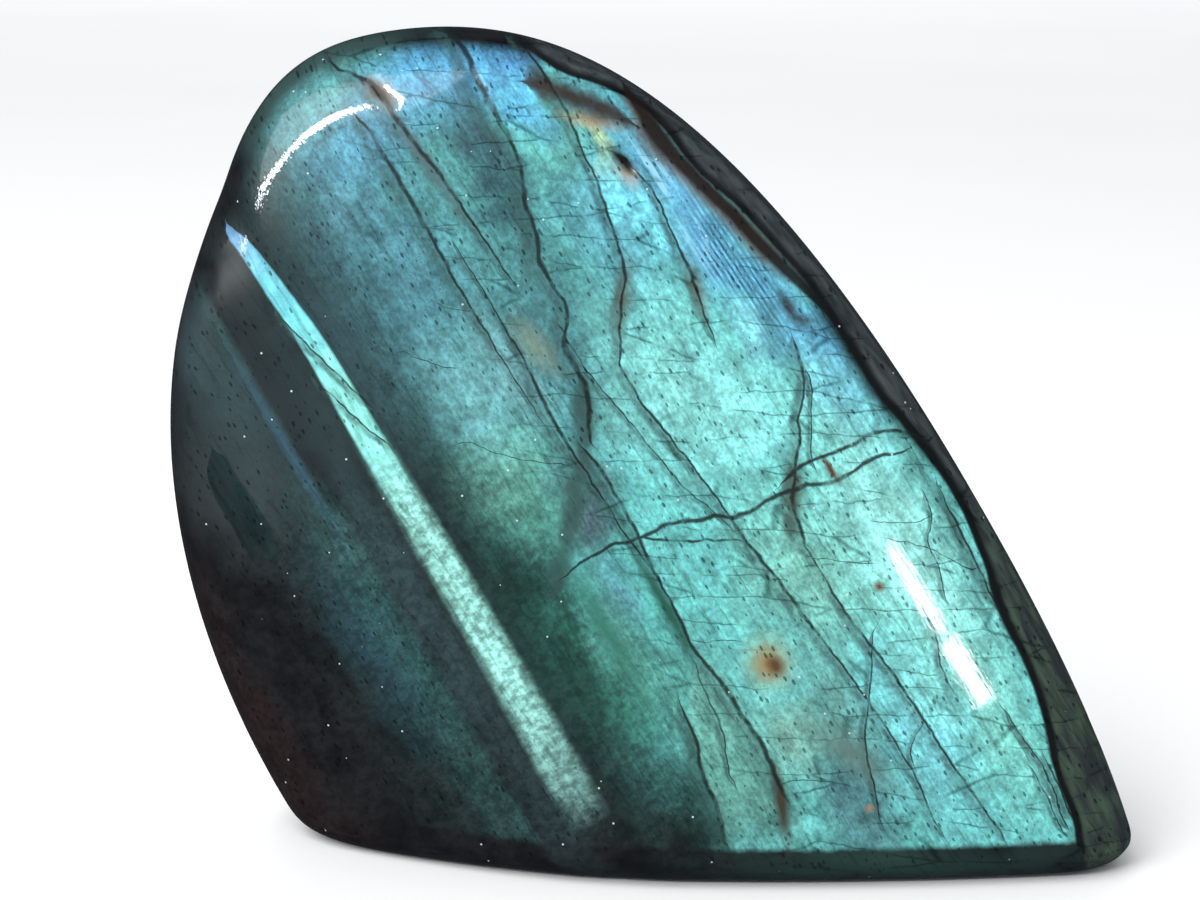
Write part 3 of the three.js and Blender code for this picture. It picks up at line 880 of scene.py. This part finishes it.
# %% Hairlines
HAIRS = [
    # cell size in mm, turn, half width as a share of a cell, darkness on the left and on the right
    ((15.0, 2.6, 1.0), 34, 0.045, 0.15, 0.75),
    ((1.5, 24.0, 1.0), -3, 0.07, 0.35, 0.45),
]
hairy = add("MapRange", {0: cloudy, 1: 0.56, 2: 0.46, 3: 0.12, 4: 1}, **SMOOTH)
for cell, turn, half_width, on_left, on_right in HAIRS:
    turned = (0.0, 0.0, math.radians(turn))
    hair_cells = add("Mapping", {0: wobbly, 2: turned, 3: cell}, vector_type="TEXTURE")
    border = {"feature": "DISTANCE_TO_EDGE", "voronoi_dimensions": "2D"}
    hair = add("TexVoronoi", {"Vector": hair_cells, "Scale": 1.0}, **border).node.outputs["Distance"]
    hairs = add("MapRange", {0: hair, 1: half_width, 2: 0}, **SMOOTH)
    darkness = add("MapRange", {0: across, 1: 8, 2: 18, 3: on_left, 4: on_right}, **SMOOTH)
    hairs = masked(hairs, hairy, darkness)
    skin = add("MixRGB", {0: hairs, 1: skin, 2: hue("#6e8c88")}, **TINT)

# %% [markdown]
# Iron in the water that crept into the cracks left rust: brown and olive stains, orange where they are thin.
# The widest crack, along the top of the bevel, is a band of dark brown.

# %% Stains beside the cracks
STAINS = [
    # colour, strength, across, along, half width, half length, turn if any
    ("#4c5a50", 0.65, 27, -50.4, 0.9, 3.6, 38),
    ("#54584a", 0.6, 33.5, -47.4, 0.7, 2.6, 12),
    ("#3f4a3c", 0.7, 31.6, -26.2, 0.9, 3.6, 35),
    ("#3c3a2a", 0.85, 15.5, -1.2, 0.6, 4.4, 22),
    ("#4a6468", 0.7, 17.4, -72, 0.7, 7, -6),
    ("#1f5648", 0.8, 15.6, -23, 0.6, 5),
    ("#2f6a5c", 0.6, 9.5, -24, 1, 7),
    ("#7d8a70", 0.4, 17.6, -51, 1.2, 3, -10),
    ("#57706a", 0.6, 23.6, -2, 1.5, 5, -20),
    ("#a89878", 0.45, 17.2, -78.6, 1, 1.6, -20),
    ("#4a3a2e", 0.95, 16.9, -78.9, 0.6, 1.8, -20),
    ("#a88c64", 0.55, 33, -66.2, 0.7, 2.6, -48),
    ("#a08258", 0.5, 33.2, -60.3, 0.7, 1.4, -14),
    ("#16120f", 1, 33.7, -61.4, 0.48, 1.6, -14),
    ("#8fa684", 0.65, 21.3, -13.6, 2.1, 2.4),
    ("#8c7448", 0.75, 21.3, -13.4, 1.3, 1.6),
    ("#57402a", 0.85, 21.8, -12.9, 0.75, 1),
    ("#583724", 0.85, 35.8, -26.3, 0.28, 1.6, -6),
    ("#624228", 0.8, 34.1, -14.2, 0.45, 0.5),
    ("#9a7a66", 0.6, 22.5, 3.8, 0.45, 0.4),
]
# The stains came in from the front, so the back has less than a third of them.
stain_share = add("MapRange", {0: depth, 1: 7, 2: 1, 3: 0.3, 4: 1}, **SMOOTH)
for code, strong, *spot in STAINS:
    zone = patch(*spot, where=wobbly, strong=strong)
    skin = add("MixRGB", {0: masked(zone, stain_share), 1: skin, 2: hue(code)})

# The brown band, and the rust beside it.
BROWN_BAND = [
    # along, across, strength
    (-67, 37.2, 0.3), (-64, 37.5, 0.6), (-62, 37.6, 1), (-60, 37.9, 0.9), (-57, 38.6, 0.75),
    (-54, 39.4, 0.7), (-51, 40.2, 0.65), (-48, 40.8, 0.65), (-45, 41.6, 0.6), (-42, 42.4, 0.5),
    (-38, 43.2, 0.25), (-30, 43.5, 0.25), (-26, 44.2, 0.4), (-18, 44.9, 0.3), (-11, 44.2, 0.3),
    (-6, 43.1, 0.5), (0, 42.6, 0.35), (5.5, 41.6, 0.4), (8.5, 40.6, 0.5), (11, 39.8, 0.3), (16, 39, 0.4),
    (18.5, 38.2, 0.3),
]
_, _, from_band = vein(BROWN_BAND, 1.1, where=gentle_shares)
rusty = add("MapRange", {0: from_band, 1: 2.4, 2: 0.9}, **SMOOTH)
high_up = add("MapRange", {0: along, 1: -40, 2: -48, 3: 0, 4: 0.8}, **SMOOTH)
inside_edge = add("MapRange", {0: past_edge, 1: 0, 2: -0.5}, **SMOOTH)
rusty = masked(rusty, in_front, high_up, inside_edge)
skin = add("MixRGB", {0: rusty, 1: skin, 2: hue("#54443a")})
# A smear of the same brown runs in from the band near the top.
SMEAR = [
    # across, along, strength
    (28.6, -73, 0), (29.6, -72.3, 0.6), (31, -71, 1), (32.2, -69.3, 1), (33.5, -67.7, 1),
    (35, -65.8, 0.9), (36, -64.3, 0.4), (37, -63, 0),
]
_, _, from_smear = vein(SMEAR, 1.8, crossing=True)
smeared = add("MapRange", {0: from_smear, 1: 1.8, 2: 0.1, 3: 0, 4: 0.95}, **SMOOTH)
smeared = masked(smeared, in_front)
skin = add("MixRGB", {0: smeared, 1: skin, 2: hue("#33261f")})
band = add("MapRange", {0: from_band, 1: 1.25, 2: 0.4}, **SMOOTH)
black_share = add("MapRange", {0: along, 1: -48, 2: -36}, **SMOOTH)
band_colour = add("MixRGB", {0: black_share, 1: hue("#1d1310"), 2: hue("#0f1415")})
band = masked(band, in_front, 0.93)
skin = add("MixRGB", {0: band, 1: skin, 2: band_colour})
skin = add("MixRGB", {0: cracked, 1: skin, 2: hue("#161f1e")})

# %% [markdown]
# ## Needles and specks
# Labradorite is full of tiny dark plates and needles of other minerals, half a millimetre long at most, which
# lie along the layers. Voronoi cells, drawn out along the banding, hold at most one each: a needle is the
# small core round a cell's point, and chance decides its size. A few pale specks are dust in the polish.

# %% Needles and specks
CELL_LENGTH = 1.15
CELL_WIDTH = 0.5
tilted = add("Mix", {0: 0.15, 4: grain, 5: drifting}, data_type="VECTOR").node.outputs[1]
cell_shares = (1 / CELL_WIDTH, 1 / CELL_LENGTH, 1 / CELL_WIDTH)
cells = add("VectorMath", {0: tilted, 1: cell_shares}, **PRODUCT)
needle = add("TexVoronoi", {"Vector": cells, "Scale": 1.0}, voronoi_dimensions="2D").node
chance = add("SeparateColor", {0: needle.outputs["Color"]}).node.outputs
needle_size = add("MapRange", {0: chance["Red"], 1: 0.74, 2: 1, 3: 0.05, 4: 0.3})
needle_room = add("Math", {0: needle.outputs["Distance"], 1: needle_size}, operation="SUBTRACT")
needles = add("MapRange", {0: needle_room, 1: 0.01, 2: -0.05, 3: 0, 4: 0.8}, **SMOOTH)
# The green hollow beside the stripe holds few of them.
few_here = patch(5, -28, 10, 19)
enough = add("Math", {0: 1.0, 1: few_here}, operation="SUBTRACT")
needles = masked(needles, enough)
skin = add("MixRGB", {0: needles, 1: skin, 2: hue("#5c767c")}, **TINT)

SPECK_CELL = 2.3
speck_cells = add("VectorMath", {0: grain, 3: 1 / SPECK_CELL}, operation="SCALE")
speck = add("TexVoronoi", {"Vector": speck_cells, "Scale": 1.0}).node
specks = add("MapRange", {0: speck.outputs["Distance"], 1: 0.055, 2: 0.035, 3: 0, 4: 0.75}, **SMOOTH)
skin = add("MixRGB", {0: specks, 1: skin, 2: hue("#cfdcdc")})

# %% [markdown]
# ## The finished shader
# One Principled shader: the colour under a clear coat with the feldspar's own index of refraction. Fine
# scuffs from the polishing wheel are strongest over the top. One small place at the upper left end of the
# stripe stayed dull.

# %% Shader
FELDSPAR_IOR = 1.56
SCUFF_DEPTH = 0.04 * MM
scuffed = patch(4, -75, 12, 3)
scuffs = add("Math", {0: scuffed, 1: 0.9, 2: 0.08}, operation="MULTIPLY_ADD")
polish = add("Bump", {"Strength": scuffs, "Distance": SCUFF_DEPTH, "Height": brushed})
dull = patch(-5, -71, 4, 5)
glossy = add("Math", {0: 1.0, 1: dull}, operation="SUBTRACT")
shader = add(
    "BsdfPrincipled",
    {
        "Base Color": skin,
        "Roughness": 0.38,
        "IOR": FELDSPAR_IOR,
        "Coat Weight": glossy,
        "Coat Roughness": 0.035,
        "Coat IOR": FELDSPAR_IOR,
        "Specular IOR Level": 0.25,
        "Normal": polish,
        "Coat Normal": polish,
    },
)
add("OutputMaterial", {"Surface": shader})
stone_data.materials.append(labradorite)
print("labradorite:", len(tree.nodes), "nodes")

# %% [markdown]
# ## The studio
# A pale table that runs out of sight, and soft lamps round it. The table top is painted board, matt and
# nearly white. It is kept out of the reflections in the stone, which would turn grey with it.

# %% Floor
FLOOR_HALF_SIDE = 6.0
FLOOR_DROP = 0.05 * MM
floor_mesh = bmesh.new()
bmesh.ops.create_grid(floor_mesh, x_segments=1, y_segments=1, size=FLOOR_HALF_SIDE)
bmesh.ops.translate(floor_mesh, verts=floor_mesh.verts, vec=(0.0, 0.0, -FLOOR_DROP))
floor_data = bpy.data.meshes.new("floor")
floor_mesh.to_mesh(floor_data)
floor_mesh.free()
floor = bpy.data.objects.new("floor", floor_data)
bpy.context.scene.collection.objects.link(floor)
floor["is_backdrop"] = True
floor.visible_glossy = False

table_top = bpy.data.materials.new("matt_white_table")
table_top.use_nodes = True
tree = table_top.node_tree
tree.nodes.clear()
# Painted board: its white varies a little every 20 cm.
table_place = add("TexCoord", {}).node.outputs["Object"]
paint = add("TexNoise", {"Vector": table_place, "Scale": 5.0, "Detail": 3.0})
white = add("MixRGB", {0: paint, 1: hue("#ececec"), 2: hue("#f2f2f2")})
sheet = add("BsdfPrincipled", {"Base Color": white, "Roughness": 0.9, "Specular IOR Level": 0.1})
add("OutputMaterial", {"Surface": sheet})
floor_data.materials.append(table_top)

# %% Camera
TARGET = Vector((-4.8, 0.6, 40.3)) * MM
DISTANCE = 283.0 * MM
LOOKING_DOWN = math.radians(12.0)
backwards = Vector((0.0, -math.cos(LOOKING_DOWN), math.sin(LOOKING_DOWN)))
camera_data = bpy.data.cameras.new("camera")
camera_data.lens = 85.0
camera_data.sensor_width = 36.0
camera_data.clip_start = 0.01
camera = bpy.data.objects.new("camera", camera_data)
camera.location = TARGET + backwards * DISTANCE
camera.rotation_euler = (math.pi / 2 - LOOKING_DOWN, 0.0, 0.0)
bpy.context.scene.collection.objects.link(camera)
bpy.context.scene.camera = camera

# %% [markdown]
# Lamps are placed by the direction in which they stand, seen from the stone: azimuth 0 is the camera's side
# and grows to the right. Brightness is the radiance of the lamp's face, so that it doesn't depend on its
# size. A soft box on the left lights the stone, and a dimmer one shows as a glow in its polish. One high
# behind lights the table. Five small ones in a row make the arc on the shoulder, and two make the streaks
# of light at the lower right.

# %% Lamps
STONE_MIDDLE = Vector((0.0, -5.0, 45.0)) * MM


def lamp(name, azimuth, elevation, distance, size, radiance, tilt=0, target=STONE_MIDDLE, shape="RECTANGLE"):
    """A lamp that faces the target from that distance in metres. tilt turns its long side away from level."""
    a, e = math.radians(azimuth), math.radians(elevation)
    towards = Vector((math.sin(a) * math.cos(e), -math.cos(a) * math.cos(e), math.sin(e)))
    data = bpy.data.lights.new(name, "AREA")
    data.shape = shape
    data.size, data.size_y = size
    data.energy = radiance * math.pi * size[0] * size[1]
    made = bpy.data.objects.new(name, data)
    made.location = target + towards * distance
    made.rotation_euler = towards.to_track_quat("Z", "Y").to_euler()
    made.rotation_euler.rotate_axis("Z", math.radians(tilt))
    made.visible_camera = False
    bpy.context.scene.collection.objects.link(made)
    return made


soft_box = lamp("soft_box", -48.0, 52.0, 0.9, (0.9, 0.5), 4.0)
soft_box.visible_glossy = False
glow_box = lamp("glow_box", -48.0, 40.0, 0.9, (0.9, 0.4), 1.6, 20.0)
glow_box.visible_diffuse = False

SHOULDER_POINT = Vector((-32.0, -5.0, 71.0)) * MM
STRIPS = [
    # azimuth, elevation, tilt
    (-66, 12, 50), (-58, 17, 45), (-47, 23.5, 32), (-34, 30, 24), (-28, 33, 24),
]
for i, (azimuth, elevation, tilt) in enumerate(STRIPS):
    lamp(f"strip_{i}", azimuth, elevation, 0.6, (0.19, 0.038), 18.0, tilt, SHOULDER_POINT, "ELLIPSE")

TABLE_BEHIND = Vector((0.0, 1.6, 0.0))
back_light = lamp("back_light", 180.0, 62.0, 2.6, (3.4, 2.0), 2.4, target=TABLE_BEHIND)
back_light.visible_glossy = False

WINDOW_POINT = Vector((28.0, -12.5, 25.0)) * MM
lamp("window_upper", 19.8, 4.2, 0.6, (0.054, 0.0095), 28.0, -60.0, WINDOW_POINT, "ELLIPSE")
lamp("window_lower", 22.2, 0.3, 0.6, (0.036, 0.016), 28.0, -60.0, WINDOW_POINT)

# %% [markdown]
# The surroundings: pale where the camera looks, and dim in reflections, since a dark polished stone mirrors
# the room. Light needs few bounces here, because nothing stands close to the stone but the table.

# %% World
world = bpy.data.worlds.new("studio")
world.use_nodes = True
tree = world.node_tree
tree.nodes.clear()
rays = add("LightPath", {}).node
seen = add("MixRGB", {0: rays.outputs["Is Glossy Ray"], 1: hue("#cdd0d2"), 2: hue("#2c3034")})
seen = add("MixRGB", {0: rays.outputs["Is Camera Ray"], 1: seen, 2: hue("#f6f6f6")})
add("OutputWorld", {"Surface": add("Background", {"Color": seen, "Strength": 1.0})})
scene = bpy.context.scene
scene.world = world
scene.view_settings.view_transform = "Standard"
scene.cycles.max_bounces = 2
scene.cycles.diffuse_bounces = 1

# %% Sizes
visual_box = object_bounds()
sizes = {
    "cad": [list(corner) for corner in cad_box],
    "visual": [list(corner) for corner in visual_box],
}
for name, (lowest, highest) in sizes.items():
    print(name, "box, mm:", np.round((np.array(highest) - np.array(lowest)) / MM, 2))
